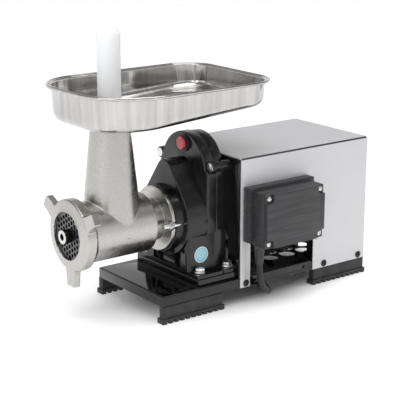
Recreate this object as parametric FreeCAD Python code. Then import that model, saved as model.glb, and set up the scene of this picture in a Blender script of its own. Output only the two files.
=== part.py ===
"""Electric meat grinder: stainless-covered gear motor on a folded base, cast grinder head, feed tray.

X runs from the outlet (front) to the back of the motor, Y across the machine, Z up, in millimetres.
Stations along X are counted from the face of the ring nut and Y from the feed screw's axis. save()
then moves every piece so that the origin is the bottom centre of the machine's box.
"""
import FreeCAD
import Part
import math
import os

# ---------------------------------------------------------------- driving dimensions
OUTLET_PIN_X = -10.0       # front end of the feed screw, the foremost point
REAR_X = 493.3             # back of the cover and of the rear feet's blocks
FOOT_LIP = 2.3             # how far a foot's toothed lip stands out all round
BOX_LID_Y = -134.0         # outer face of the control box
TRAY_HALF_Y = 108.5        # half width of the feed tray over its rim
ORIGIN = FreeCAD.Vector((OUTLET_PIN_X + REAR_X + FOOT_LIP) / 2, (BOX_LID_Y + TRAY_HALF_Y) / 2, 0)

SCREW_Z = 130.4            # height of the feed screw's axis
MOTOR_Z = 139.4            # height of the motor's axis
IDLER_Z = 196.4            # height of the intermediate shaft
CASE_X = (151.9, 165.5, 200.0, 216.0, 216.6, 234.0, 244.0)   # collar, nose, plate, joint, joint, wall, back
COLLAR_R = 50.3
NOSE_R, NOSE_TOP_R, NOSE_TOP_Z = 59.5, 20.0, 197.0
DOME_R, DOME_Z = 54.0, 200.0
SEAL_X = (156.6, 163.0)    # output shaft seal
BACK_BOSS_R = 21.0         # boss round the intermediate shaft's rear bearing
CASE_HALF_Y, CASE_TOP_Z, CASE_WALL = 60.0, 206.0, 4.5
WAIST_HALF_Y, WAIST_Z = 55.0, 111.0
EAR_X, EAR_Y, EAR_Z, EAR_R = 203.0, 62.3, 211.0, 8.3

BASE_X0, BASE_HALF_Y, BASE_TOP, BASE_LOW, SHEET = 102.8, 84.3, 41.1, 25.0, 2.0
SPACER_TOP = 50.5
FOOT_TOP = 56.5            # top of the gearbox's foot flange
FOOT_BOLT_X, FOOT_BOLT_Y = (183.0, 233.0), 64.0
FOOT_LENGTH = 105.7
FOOT_X = (BASE_X0, REAR_X - FOOT_LENGTH)
FOOT_Y = (75.0, 85.3)
PLUG_OFFSETS, PLUG_Y = (30.0, 75.0), 78.1   # moulded plugs, from the front end of a foot

COVER_X0, COVER_TOP, COVER_LOW, COVER_HALF_Y, COVER_T = 241.6, 222.5, 25.3, 86.0, 1.5
CUTOUT_X, CUTOUT_Z = (260.0, 385.0), 98.0
COVER_SCREW_X, COVER_SCREW_Z = (252.7, 408.3, 481.4), 31.4

BOX_BACK = ((246.0, 370.6), (97.0, 180.0))     # frame of the control box, X and Z
BOX_BODY = ((252.0, 363.0), (94.5, 176.0))     # its body and lid
BOX_BACK_Y, BOX_JOINT_Y = -100.0, -126.0

STUD_Y, STUD_R = 46.5, 4.0
NECK_X, NECK_TOP, NECK_TOP_R, NECK_SLOPE = 73.4, 282.2, 28.1, 0.1019
BARREL_R, BARREL_BORE_R, BARREL_END_X = 44.0, 37.0, 124.6
FLANGE_R, FLANGE_X = 48.6, (145.8, 151.9)
PLATE_R, PLATE_X = 41.0, (2.0, 11.0)
PIN_R, PIN_BORE_R, RUN_FIT = 10.0, 5.0, 0.05
JOURNAL_R = 15.5

TRAY_X = (4.5, 302.0)
TRAY_Z = (290.0, 335.7)       # underside at mid length, top of the rim
TRAY_SLOPE = 3.8            # degrees by which the floor falls towards the outlet
TRAY_CORNER_R, TRAY_FAR_R, TRAY_NEAR_R = 51.0, 70.0, 92.0   # rear corners, front far side, front box side
TRAY_T, TRAY_BEND_R, RIM_R, RIM_OUT = 1.2, 14.0, 2.3, 7.5
SPOUT_R, SPOUT_DROP = 24.0, 15.0
PUSHER_TOP, PUSHER_R, PLUNGER_R = 421.0, 16.7, 22.2

BUTTON_Y, BUTTON_Z, BUTTON_R, BUTTON_FACE_X = -3.0, 238.0, 10.0, 192.5
CORD_R = 4.9
COIL_CENTRE = (405.0, 153.0)
COIL_MEAN_R = 50.0
GLAND, GLAND_LOW = (260.8, -106.6), 66.0     # where the cord leaves the control box
LEAD_ROUTE = [(*GLAND, GLAND_LOW), (*GLAND, 50), (266.5, -104.2, 34), (277.5, -98.5, 21.5), (291.5, -90.5, 12),
              (303.8, -77.3, 6.4), (313.6, -60, CORD_R), (322.6, -36.7, CORD_R), (332.1, -8.2, CORD_R),
              (341.2, 25.6, CORD_R), (347.5, 63.1, CORD_R), (350.3, 102, CORD_R), (350.1, 140, CORD_R)]
TAIL_ROUTE = [(411, 207.9, 3 * CORD_R), (427, 207.9, 15.3), (444, 207.5, 17.6)]
PLUG_AXIS = (444.0, 207.5, 17.6)

MOTOR_X = (244.3, 256.0, 402.0, 412.0)      # front shield, housing, rear shield, back
MOTOR_R, ROD_OFFSET, LUG_R = 70.0, 54.0, 8.0

V = FreeCAD.Vector
X_AXIS, Y_AXIS, Z_AXIS = V(1, 0, 0), V(0, 1, 0), V(0, 0, 1)
BODY_X0 = 3.0              # front face of the grinder's barrel


# ---------------------------------------------------------------- helpers
def box(x, y, z):
    """A block between pairs of coordinates."""
    return Part.makeBox(x[1] - x[0], y[1] - y[0], z[1] - z[0], V(x[0], y[0], z[0]))


def rod(x, y, z, radius):
    """A cylinder along X between the stations x."""
    return Part.makeCylinder(radius, x[1] - x[0], V(x[0], y, z), X_AXIS)


def rod_y(x, y, z, radius):
    return Part.makeCylinder(radius, y[1] - y[0], V(x, y[0], z), Y_AXIS)


def rod_z(x, y, z, radius):
    return Part.makeCylinder(radius, z[1] - z[0], V(x, y, z[0]), Z_AXIS)


def tube(x, y, z, outer, inner):
    return rod(x, y, z, outer).cut(rod(x, y, z, inner))


def fuse(first, *rest):
    """One solid from touching or overlapping solids, without seams between coplanar faces."""
    return first.fuse(list(rest)).removeSplitter()


def cut(shape, *tools):
    return shape.cut(list(tools))


def prism_x(points, x):
    """A closed polygon of (y, z) points, extruded along X."""
    corners = [V(x[0], y, z) for y, z in points]
    face = Part.Face(Part.makePolygon(corners + corners[:1]))
    return face.extrude(V(x[1] - x[0], 0, 0))


def turned(points, z):
    """A solid of revolution about the X axis line at height z, from (x, radius) points."""
    corners = [V(x, 0, z + radius) for x, radius in points]
    face = Part.Face(Part.makePolygon(corners + corners[:1]))
    return face.revolve(V(0, 0, z), X_AXIS, 360)


def edges_along(shape, axis, test=None):
    """Straight edges parallel to an axis, kept where test(centre of the edge) holds."""
    found = []
    for edge in shape.Edges:
        ends = [vertex.Point for vertex in edge.Vertexes]
        if len(ends) != 2 or not isinstance(edge.Curve, Part.Line):
            continue
        direction = (ends[1] - ends[0]).normalize()
        if abs(abs(direction.dot(axis)) - 1) < 1e-6 and (test is None or test(edge.CenterOfMass)):
            found.append(edge)
    return found


def rounded_block(x, y, z, radius, axis):
    """A block whose edges along one axis are rounded."""
    block = box(x, y, z)
    return block.makeFillet(radius, edges_along(block, axis))


def hexagon(x, y, z, across_flats, axis):
    """A hexagonal prism along X or Z; the coordinate given as a pair sets its length."""
    radius = across_flats / math.sqrt(3)
    if axis is X_AXIS:
        start, along = V(x[0], y, z), V(x[1] - x[0], 0, 0)
        side_a, side_b = Y_AXIS, Z_AXIS
    else:
        start, along = V(x, y, z[0]), V(0, 0, z[1] - z[0])
        side_a, side_b = X_AXIS, Y_AXIS
    turns = [math.radians(60 * step) for step in range(7)]
    corners = [start + side_a * (radius * math.cos(t)) + side_b * (radius * math.sin(t)) for t in turns]
    return Part.Face(Part.makePolygon(corners)).extrude(along)


def group(solids):
    """Separate identical pieces in one node."""
    return Part.makeCompound(solids)


def mirrored_y(shape):
    return shape.mirror(V(0, 0, 0), Y_AXIS)


def save(name, shape):
    """Move a piece to the machine's origin, check it and write it."""
    placed = shape.copy()
    placed.translate(ORIGIN.negative())
    if not placed.isValid() or placed.Volume < 1:
        raise ValueError(name + " is not a sound solid")
    placed.exportStep("parts/" + name + ".step")
    print(f"{name:24s} solids {len(placed.Solids):2d}  volume {placed.Volume / 1000:9.2f} cm3")


# ---------------------------------------------------------------- base and feet
def base_pan():
    """Folded sheet tray, open below, with vent holes under the motor and return lips for the feet."""
    outside = box((BASE_X0, REAR_X - 2), (-BASE_HALF_Y, BASE_HALF_Y), (BASE_LOW, BASE_TOP))
    long_edges = edges_along(outside, X_AXIS, lambda c: c.z > BASE_TOP - 1)
    outside = outside.makeFillet(2.5, long_edges + edges_along(outside, Y_AXIS, lambda c: c.z > BASE_TOP - 1))
    inside = box((BASE_X0 + SHEET, REAR_X - 2 - SHEET), (-BASE_HALF_Y + SHEET, BASE_HALF_Y - SHEET),
                 (BASE_LOW - 1, BASE_TOP - SHEET))
    pan = outside.cut(inside)
    for side in (-1, 1):
        y = sorted((side * (BASE_HALF_Y - SHEET), side * (BASE_HALF_Y - 16)))
        lip = box((BASE_X0 + SHEET, REAR_X - 2 - SHEET), y, (BASE_LOW, BASE_LOW + SHEET))
        pan = fuse(pan, lip)
    holes = []
    for row, y in enumerate((-36.0, -12.0, 12.0, 36.0)):
        for step in range(3):
            x = 341.0 + 34.0 * step + 17.0 * (row % 2)
            holes.append(rod_z(x, y, (BASE_TOP - 5, BASE_TOP + 1), 12.5))
    for x in FOOT_BOLT_X:
        holes += [rod_z(x, side * FOOT_BOLT_Y, (BASE_TOP - 5, BASE_TOP + 1), 4.3) for side in (-1, 1)]
    for x in COVER_SCREW_X:
        holes.append(rod_y(x, (-100, 100), COVER_SCREW_Z, 2.05))
    holes.append(rod_y(366.8, (-100, 0), 33.5, 2.5))
    for x, y in plug_places():
        holes.append(rod_z(x, y, (BASE_LOW - 1, BASE_LOW + SHEET + 1), 2.7))
    return cut(pan, *holes)


def plug_places():
    """Where the feet's moulded plugs go through the return lips."""
    return [(start + offset, side * PLUG_Y) for start in FOOT_X
            for offset in PLUG_OFFSETS for side in (-1, 1)]


def rubber_feet():
    """Four ribbed strips: a block, a wider toothed lip and two moulded plugs each."""
    tooth_pitch, gap = 10.2, 4.4
    feet = []
    for start in FOOT_X:
        for side in (-1, 1):
            block = box((start, start + FOOT_LENGTH), FOOT_Y, (5.0, BASE_LOW))
            lip = box((start - FOOT_LIP, start + FOOT_LENGTH + FOOT_LIP),
                      (FOOT_Y[0] - FOOT_LIP, FOOT_Y[1] + FOOT_LIP), (0.0, 7.5))
            foot = fuse(block, lip)
            first = start + (FOOT_LENGTH - 9 * tooth_pitch - gap) / 2
            notches = [box((first + tooth_pitch * n, first + tooth_pitch * n + gap), (60, 95), (-1, 4.6))
                       for n in range(10)]
            foot = cut(foot, *notches)
            for offset in PLUG_OFFSETS:
                foot = fuse(foot, rod_z(start + offset, PLUG_Y, (BASE_LOW - 2, BASE_LOW + SHEET + 0.1), 2.6),
                            rod_z(start + offset, PLUG_Y, (BASE_LOW + SHEET + 0.1, BASE_LOW + SHEET + 3.5), 3.8))
            feet.append(foot if side > 0 else mirrored_y(foot))
    return group(feet)


def spacer_plate():
    plate = rounded_block((169, 242), (-79.5, 79.5), (BASE_TOP, SPACER_TOP), 2.5, Z_AXIS)
    holes = [rod_z(x, side * FOOT_BOLT_Y, (BASE_TOP - 1, SPACER_TOP + 1), 4.3)
             for x in FOOT_BOLT_X for side in (-1, 1)]
    return cut(plate, *holes)


def foot_fasteners():
    """Hexagon bolts down through the foot flange, spacer and base, with their washers."""
    bolts, washers = [], []
    for x in FOOT_BOLT_X:
        for y in (-FOOT_BOLT_Y, FOOT_BOLT_Y):
            washers.append(rod_z(x, y, (FOOT_TOP, FOOT_TOP + 1.6), 8.5).cut(
                rod_z(x, y, (FOOT_TOP - 1, FOOT_TOP + 3), 4.2)))
            head = hexagon(x, y, (FOOT_TOP + 1.6, FOOT_TOP + 7.1), 13.0, Z_AXIS)
            cone = Part.makeCone(9.2, 6.2, 3.0, V(x, y, FOOT_TOP + 4.6), Z_AXIS)
            trimmed = head.common(fuse(rod_z(x, y, (FOOT_TOP + 1, FOOT_TOP + 4.6), 9.2), cone))
            nut = hexagon(x, y, (BASE_TOP - SHEET - 6.5, BASE_TOP - SHEET), 13.0, Z_AXIS)
            bolts.append(fuse(trimmed, rod_z(x, y, (BASE_TOP - SHEET - 9, FOOT_TOP + 2), STUD_R), nut))
    return group(bolts), group(washers)


# ---------------------------------------------------------------- gearbox castings
def nose_outline(grow, x):
    """Pear outline of the nose: a large circle round the output, a small one at its top, two tangents."""
    low = (0.0, SCREW_Z, NOSE_R + grow)
    top = (0.0, NOSE_TOP_Z, NOSE_TOP_R + grow)
    lean = math.asin((low[2] - top[2]) / (top[1] - low[1]))
    ends = [(circle[2] * math.cos(lean), circle[1] + circle[2] * math.sin(lean)) for circle in (low, top)]
    low_arc = Part.Arc(V(x, ends[0][0], ends[0][1]), V(x, 0, SCREW_Z - low[2]), V(x, -ends[0][0], ends[0][1]))
    top_arc = Part.Arc(V(x, -ends[1][0], ends[1][1]), V(x, 0, NOSE_TOP_Z + top[2]), V(x, ends[1][0], ends[1][1]))
    left = Part.LineSegment(V(x, -ends[0][0], ends[0][1]), V(x, -ends[1][0], ends[1][1]))
    right = Part.LineSegment(V(x, ends[1][0], ends[1][1]), V(x, ends[0][0], ends[0][1]))
    return Part.Wire([low_arc.toShape(), left.toShape(), top_arc.toShape(), right.toShape()])


def pear(grow, x):
    return Part.Face(nose_outline(grow, x[0])).extrude(V(x[1] - x[0], 0, 0))


def case_block(x, shrink):
    """Body of the gear case: a narrower foot part, a wider block above it and a round dome."""
    half = CASE_HALF_Y - shrink
    low = SPACER_TOP if shrink < CASE_WALL else 70.0
    block = box(x, (-half, half), (WAIST_Z + shrink, CASE_TOP_Z - shrink))
    if shrink < CASE_WALL:
        block = block.makeFillet(8.0, edges_along(block, X_AXIS, lambda c: c.z > 150))
    waist = box(x, (-WAIST_HALF_Y + shrink, WAIST_HALF_Y - shrink), (low, WAIST_Z + shrink + 1))
    return fuse(block, waist, rod(x, 0, DOME_Z, DOME_R - shrink))


def gearbox_front_case():
    """Front casting: collar, nose, front plate with the lower half of the dome, pedestal and foot."""
    collar, nose, plate, joint = CASE_X[:4]
    pedestal = box((169, joint), (-WAIST_HALF_Y, WAIST_HALF_Y), (SPACER_TOP, WAIST_Z + 1))
    pedestal = pedestal.makeFillet(4.0, edges_along(pedestal, Z_AXIS, lambda c: c.x < 170))
    pedestal = pedestal.cut(box((160, 174), (-34, 34), (FOOT_TOP + 2, 112)))
    foot = rounded_block((169, joint), (-78, 78), (SPACER_TOP, FOOT_TOP), 2.0, Z_AXIS)
    ribs = [prism_side(side * 22, 5.0, ((163, 84), (175, 84), (175, FOOT_TOP + 1), (171, FOOT_TOP + 1)))
            for side in (-1, 1)]
    nose_block = pear(0.0, (nose, plate + 2))
    nose_block = nose_block.makeFillet(2.5, [e for e in nose_block.Edges if e.BoundBox.XMax < nose + 0.1])
    front_plate = case_block((plate, joint), 0)
    front_plate = front_plate.makeFillet(3.0, [e for e in front_plate.Edges
                                               if e.BoundBox.XMax < plate + 0.1 and e.BoundBox.ZMax > 120])
    ears = []
    for side in (-1, 1):
        ears.append(rod((EAR_X, joint), side * EAR_Y, EAR_Z, EAR_R))
        ears.append(box((EAR_X + 1.5, joint), sorted((side * 40, side * EAR_Y)), (EAR_Z - EAR_R, EAR_Z + 3)))
    collar_disc = rod((collar, nose + 2), 0, SCREW_Z, COLLAR_R)
    solid = fuse(pedestal, foot, front_plate, nose_block, collar_disc, *(ribs + ears))
    cavity = [rod((178, plate + 1), 0, SCREW_Z, 55.5), rod((178, plate + 1), 0, IDLER_Z, 17.6),
              case_block((plate + CASE_WALL, joint + 1), CASE_WALL), pear(-CASE_WALL - 0.4, (190, plate + 6)),
              rod((collar - 1, 179), 0, SCREW_Z, 17.0), rod((SEAL_X[0], 176.5), 0, SCREW_Z, 27.5),
              rod((168.0, 179), 0, IDLER_Z, 16.0), box((180, joint + 1), (-49, 49), (SPACER_TOP - 1, 60))]
    bolts = [rod_z(x, side * FOOT_BOLT_Y, (40, 60), 4.3) for x in FOOT_BOLT_X[:1] for side in (-1, 1)]
    studs = [rod((collar - 1, 170), side * STUD_Y, SCREW_Z, STUD_R) for side in (-1, 1)]
    ear_holes = [rod((EAR_X - 1, joint + 1), side * EAR_Y, EAR_Z, 4.2) for side in (-1, 1)]
    counterbores = [rod((EAR_X - 1, EAR_X + 5), side * EAR_Y, EAR_Z, 6.7) for side in (-1, 1)]
    extra = [rod((165, 175), side * 42.0, 85.0, 3.0) for side in (-1, 1)]
    extra.append(rod((plate - 4, plate + 9), BUTTON_Y, BUTTON_Z, 8.0))
    return cut(solid, *(cavity + bolts + studs + ear_holes + counterbores + extra))


def prism_side(y, thickness, points):
    """A plate in the XZ plane from (x, z) points, centred on y."""
    corners = [V(px, y - thickness / 2, pz) for px, pz in points]
    return Part.Face(Part.makePolygon(corners + corners[:1])).extrude(V(0, thickness, 0))


def gearbox_gasket():
    x = CASE_X[3:5]
    return cut(case_block(x, 1.0), case_block((x[0] - 1, x[1] + 1), CASE_WALL),
               box((x[0] - 1, x[1] + 1), (-49, 49), (SPACER_TOP - 1, 65)))


def gearbox_rear_case():
    """Rear casting: ribbed walls, back wall with the idler bearing's pocket, long ear bosses, foot."""
    front, wall, back = CASE_X[4:]
    body = fuse(case_block((front, wall), 1.5), rod((front, back), 0, IDLER_Z, BACK_BOSS_R),
                box((front, back), (-58.3, 58.3), (WAIST_Z + 1.5, CASE_TOP_Z - 3)),
                box((front, back), (-WAIST_HALF_Y + 1.5, WAIST_HALF_Y - 1.5), (SPACER_TOP, WAIST_Z + 2)))
    foot = rounded_block((front, 242), (-78, 78), (SPACER_TOP, FOOT_TOP), 1.5, Z_AXIS)
    ears = []
    for side in (-1, 1):
        ears.append(rod((front, 239), side * EAR_Y, EAR_Z, EAR_R - 0.8))
        ears.append(box((front, 236), sorted((side * 40, side * EAR_Y)), (EAR_Z - EAR_R, EAR_Z + 2)))
    solid = fuse(body, foot, *ears)
    flutes = []
    for x in (221.5, 228.0):
        for side in (-1, 1):
            flutes.append(box((x, x + 3.0), sorted((side * 56.8, side * 70)), (WAIST_Z + 4, CASE_TOP_Z - 12)))
    cavity = [case_block((front - 1, wall), CASE_WALL), rod((wall - 1, back + 1), 0, IDLER_Z, 16.0),
              rod((wall - 1, back + 1), 0, MOTOR_Z, 17.0), box((front - 1, 240), (-49, 49), (SPACER_TOP - 1, 60))]
    bolts = [rod_z(FOOT_BOLT_X[1], side * FOOT_BOLT_Y, (40, 60), 4.3) for side in (-1, 1)]
    threads = [rod((front - 1, 232), side * EAR_Y, EAR_Z, 4.0) for side in (-1, 1)]
    threads += [rod((wall - 1, back + 1), y, z, 3.0) for y, z in shield_screw_places()]
    return cut(solid, *(cavity + flutes + bolts + threads))


def shield_screw_places():
    """Where the motor's front shield is screwed to the gear case."""
    return [(side * 38.0, z) for side in (-1, 1) for z in (MOTOR_Z - 38.0, MOTOR_Z + 38.0)]


def case_screws():
    """Socket-head screws in the two ears."""
    screws = []
    plate = CASE_X[2]
    for side in (-1, 1):
        y = side * EAR_Y
        head = rod((EAR_X - 1.0, EAR_X + 5), y, EAR_Z, 6.5)
        screws.append(fuse(head, rod((plate + 2, 231), y, EAR_Z, 3.95)).cut(
            hexagon((plate - 5, plate), y, EAR_Z, 6.0, X_AXIS)))
    return group(screws)


def bearing_bridge():
    """Plate inside the case that carries the rear bearing of the output shaft."""
    x0 = CASE_X[2] + CASE_WALL
    plate = rounded_block((x0, x0 + 4), (-50, 50), (72, 160), 12.0, X_AXIS)
    plate = fuse(plate, rod((x0, x0 + 9), 0, SCREW_Z, 25.5))
    return cut(plate, rod((x0 - 1, x0 + 10), 0, SCREW_Z, 21.0))


def bearing(x, z, shaft_r, outer):
    """Ball bearing: two races, a row of balls sunk into both, as one piece."""
    bore = shaft_r + 0.03
    pitch = (bore + outer) / 2
    ball = (outer - bore) * 0.27
    wall = (outer - bore) * 0.28
    middle = (x[0] + x[1]) / 2
    solid = fuse(tube(x, 0, z, outer, outer - wall), tube(x, 0, z, bore + wall, bore))
    balls = []
    for step in range(9):
        turn = math.radians(40 * step)
        balls.append(Part.makeSphere(ball, V(middle, pitch * math.cos(turn), z + pitch * math.sin(turn))))
    web = tube((middle - 1, middle + 1), 0, z, outer - wall / 2, bore + wall / 2)
    return fuse(solid, web, *balls)


def output_seal():
    return cut(rod(SEAL_X, 0, SCREW_Z, 27.5), rod((SEAL_X[0] - 1, SEAL_X[1] + 1), 0, SCREW_Z, 15.05))


def round_sticker():
    return rod_y(192.3, (-55.3, -55.0), 79.5, 12.2)


# ---------------------------------------------------------------- push button
def button_bezel():
    plate = CASE_X[2]
    ring = tube((plate - 3.0, plate), BUTTON_Y, BUTTON_Z, 12.6, BUTTON_R + 0.4)
    back = tube((plate - 1.2, plate), BUTTON_Y, BUTTON_Z, 12.6, 4.0)
    sleeve = tube((plate, plate + 8), BUTTON_Y, BUTTON_Z, 7.9, 4.0)
    return fuse(ring, back, sleeve)


def red_button():
    cap = rod((BUTTON_FACE_X, BUTTON_FACE_X + 3.2), BUTTON_Y, BUTTON_Z, BUTTON_R)
    cap = cap.makeFillet(1.8, [e for e in cap.Edges if e.BoundBox.XMax < BUTTON_FACE_X + 0.1])
    return fuse(cap, rod((BUTTON_FACE_X + 3, 208.5), BUTTON_Y, BUTTON_Z, 3.6))


def switch_block():
    """Contact block behind the front plate, worked by the button's stem."""
    return rounded_block((212.0, 219.8), (-11, 7), (BUTTON_Z - 9, BUTTON_Z + 8), 1.5, X_AXIS)


# ---------------------------------------------------------------- gears and shafts
def involute_gear(x, z, teeth, module, bore, turn=0.0):
    """Spur gear with 20-degree involute flanks, extruded along X."""
    pitch_r = teeth * module / 2
    base_r = pitch_r * math.cos(math.radians(20))
    tip_r = pitch_r + module * 0.94
    root_r = pitch_r - module * 1.25
    slack = 0.10 / pitch_r
    half_tooth = math.pi / (2 * teeth) - slack
    pitch_roll = math.sqrt((pitch_r / base_r) ** 2 - 1)
    pitch_turn = pitch_roll - math.atan(pitch_roll)
    start_r = max(base_r, root_r + 0.05)
    corners = []
    for tooth in range(teeth):
        centre = 2 * math.pi * tooth / teeth + math.radians(turn)
        for side in (-1, 1):
            flank = []
            for step in range(5):
                radius = start_r + (tip_r - start_r) * step / 4
                roll = math.sqrt((radius / base_r) ** 2 - 1)
                angle = half_tooth + pitch_turn - (roll - math.atan(roll))
                flank.append((radius, centre + side * angle))
            flank.insert(0, (root_r, flank[0][1]))
            corners += flank if side < 0 else flank[::-1]
    points = [(radius * math.cos(angle), z + radius * math.sin(angle)) for radius, angle in corners]
    return prism_x(points, x).cut(rod((x[0] - 1, x[1] + 1), 0, z, bore))


def tooth_turn(teeth, facing, gap):
    """Turn that points a tooth, or a gap, at the mating gear; facing is 90 up or -90 down."""
    return facing + (180.0 / teeth if gap else 0.0)


def lightened(gear, x, z, hub, rim):
    """Cut a recess in both faces of a large gear, between its hub and its rim."""
    depth = (x[1] - x[0]) * 0.22
    return cut(gear, tube((x[0] - 1, x[0] + depth), 0, z, rim, hub),
               tube((x[1] - depth, x[1] + 1), 0, z, rim, hub))


def gear_train():
    """Motor pinion, intermediate gear, pinion shaft and output gear, meshing at rest."""
    first, second = 1.5, 2.0
    motor_pinion = involute_gear((219, 232), MOTOR_Z, 16, first, 8.0, tooth_turn(16, 90, False))
    idler_gear = involute_gear((220.5, 230.5), IDLER_Z, 60, first, 9.0, tooth_turn(60, -90, True))
    idler_gear = lightened(idler_gear, (220.5, 230.5), IDLER_Z, 15, 38)
    idler_pinion = involute_gear((181, 198), IDLER_Z, 14, second, 4.0, tooth_turn(14, -90, False))
    idler_shaft = fuse(idler_pinion, rod((168.5, 243.5), 0, IDLER_Z, 6.0), rod((178.9, 181.5), 0, IDLER_Z, 9.0),
                       rod((197.5, 233.6), 0, IDLER_Z, 9.0))
    output_gear = involute_gear((182, 196), SCREW_Z, 52, second, 14.0, tooth_turn(52, 90, True))
    output_gear = lightened(output_gear, (182, 196), SCREW_Z, 22, 43)
    return motor_pinion, idler_gear, idler_shaft, output_gear


def output_shaft():
    """Shaft with a square socket for the feed screw's tang."""
    shaft = fuse(rod((157.0, 181.5), 0, SCREW_Z, 15.0), rod((181.5, 196.5), 0, SCREW_Z, 14.0),
                 rod((196.5, 204), 0, SCREW_Z, 16.0), rod((204, 215), 0, SCREW_Z, 10.0))
    return cut(shaft, box((156, 173), (-8.1, 8.1), (SCREW_Z - 8.1, SCREW_Z + 8.1)))


# ---------------------------------------------------------------- motor
def tie_rod_places():
    return [(a * ROD_OFFSET, MOTOR_Z + b * ROD_OFFSET) for a in (-1, 1) for b in (-1, 1)]


def motor_shield(x, pocket):
    """End shield with four lugs for the tie rods; pocket is where its bearing sits."""
    shield = rod(x, 0, MOTOR_Z, MOTOR_R)
    lugs = [rod(x, y, z, LUG_R) for y, z in tie_rod_places()]
    holes = [rod((x[0] - 1, x[1] + 1), y, z, 2.6) for y, z in tie_rod_places()]
    shield = fuse(shield, *lugs)
    return cut(shield, rod(pocket, 0, MOTOR_Z, 17.5), rod((x[0] - 1, x[1] + 1), 0, MOTOR_Z, 10.0), *holes)


def motor_front_shield():
    shield = motor_shield(MOTOR_X[:2], (246.0, 257.0))
    holes = [rod((240, 260), y, z, 3.2) for y, z in shield_screw_places()]
    return cut(shield, *holes)


def motor_flange_screws():
    screws = []
    for y, z in shield_screw_places():
        screws.append(fuse(rod((236, 257), y, z, 2.95), rod((256, 261), y, z, 5.0)).cut(
            hexagon((258, 262), y, z, 5.0, X_AXIS)))
    return group(screws)


def motor_rear_shield():
    return motor_shield(MOTOR_X[2:], (401.0, 411.0))


def motor_housing():
    """Finned tube round the stator."""
    housing = tube(MOTOR_X[1:3], 0, MOTOR_Z, MOTOR_R, 66.0)
    fins = []
    for step in range(24):
        turn = 15.0 * step
        if min(abs(turn % 90 - 45), 90) < 14:
            continue
        fin = box((MOTOR_X[1] + 6, MOTOR_X[2] - 6), (-1.0, 1.0), (MOTOR_R - 1, MOTOR_R + 4))
        fin.rotate(V(0, 0, 0), X_AXIS, turn)
        fin.translate(V(0, 0, MOTOR_Z))
        fins.append(fin)
    return fuse(housing, *fins)


def tie_rods():
    x0, x1 = MOTOR_X[0], MOTOR_X[3]
    rods = []
    for y, z in tie_rod_places():
        rods.append(fuse(rod((x0, x1 + 6), y, z, 2.5), hexagon((x1, x1 + 4.5), y, z, 8.0, X_AXIS)))
    return group(rods)


def stator_core():
    """Slotted lamination stack; the windings' coils lie in its slots."""
    core = tube((290, 370), 0, MOTOR_Z, 66.0, 38.0)
    slots = []
    for step in range(24):
        slot = box((289, 371), (-2.6, 2.6), (40.0, 53.0))
        slot.rotate(V(0, 0, 0), X_AXIS, 15.0 * step)
        slot.translate(V(0, 0, MOTOR_Z))
        slots.append(slot)
    return cut(core, *slots)


def stator_windings():
    """Copper coils in the slots, joined by the bound end rings."""
    rings = [tube(x, 0, MOTOR_Z, 58.0, 40.5) for x in ((272, 290), (370, 388))]
    rings = [ring.makeFillet(4.0, [e for e in ring.Edges if abs(e.BoundBox.XMax - far) < 0.1])
             for ring, far in zip(rings, (272, 388))]
    coils = []
    for step in range(24):
        coil = box((289, 371), (-2.4, 2.4), (41.0, 52.5))
        coil.rotate(V(0, 0, 0), X_AXIS, 15.0 * step)
        coil.translate(V(0, 0, MOTOR_Z))
        coils.append(coil)
    return fuse(rings[0], rings[1], *coils)


def rotor_core():
    core = tube((288, 372), 0, MOTOR_Z, 37.4, 10.0)
    rings = [tube(x, 0, MOTOR_Z, 36.5, 26.0) for x in ((280, 288), (372, 380))]
    return fuse(core, *rings)


def motor_shaft():
    return fuse(rod((219, 246), 0, MOTOR_Z, 8.0), rod((246, 256.5), 0, MOTOR_Z, 8.5),
                rod((256.4, 400.6), 0, MOTOR_Z, 10.0), rod((400.5, 411), 0, MOTOR_Z, 8.5),
                rod((411, 432), 0, MOTOR_Z, 8.0))


def cooling_fan():
    """Hub, back disc and straight blades."""
    fan = fuse(tube((416, 431), 0, MOTOR_Z, 14.0, 8.0), tube((428, 431), 0, MOTOR_Z, 58.0, 8.0))
    blades = []
    for step in range(9):
        blade = box((417, 429), (-1.25, 1.25), (13, 58))
        blade.rotate(V(0, 0, 0), X_AXIS, 40.0 * step)
        blade.translate(V(0, 0, MOTOR_Z))
        blades.append(blade)
    return fuse(fan, *blades)


def fan_cowl():
    """Sheet cup over the fan with a round air grille."""
    cup = cut(rod((412, 446), 0, MOTOR_Z, 69.0), rod((411, 444.5), 0, MOTOR_Z, 67.5))
    holes = []
    for count, radius in ((6, 18.0), (12, 32.0), (18, 46.0)):
        for step in range(count):
            turn = 2 * math.pi * step / count
            holes.append(rod((443, 447), radius * math.cos(turn), MOTOR_Z + radius * math.sin(turn), 4.5))
    rods = [rod((411, 420), y, z, 6.2) for y, z in tie_rod_places()]
    return cut(cup, *(holes + rods))


def motor_support():
    """Two welded brackets that carry the rear shield from the base."""
    bracket = fuse(box((404, 410), (50, 60), (BASE_TOP, 80)), box((398, 420), (50, 79), (BASE_TOP, BASE_TOP + 3)))
    bracket = bracket.cut(rod((390, 425), ROD_OFFSET, MOTOR_Z - ROD_OFFSET, LUG_R))
    return group([bracket, mirrored_y(bracket)])


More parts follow.
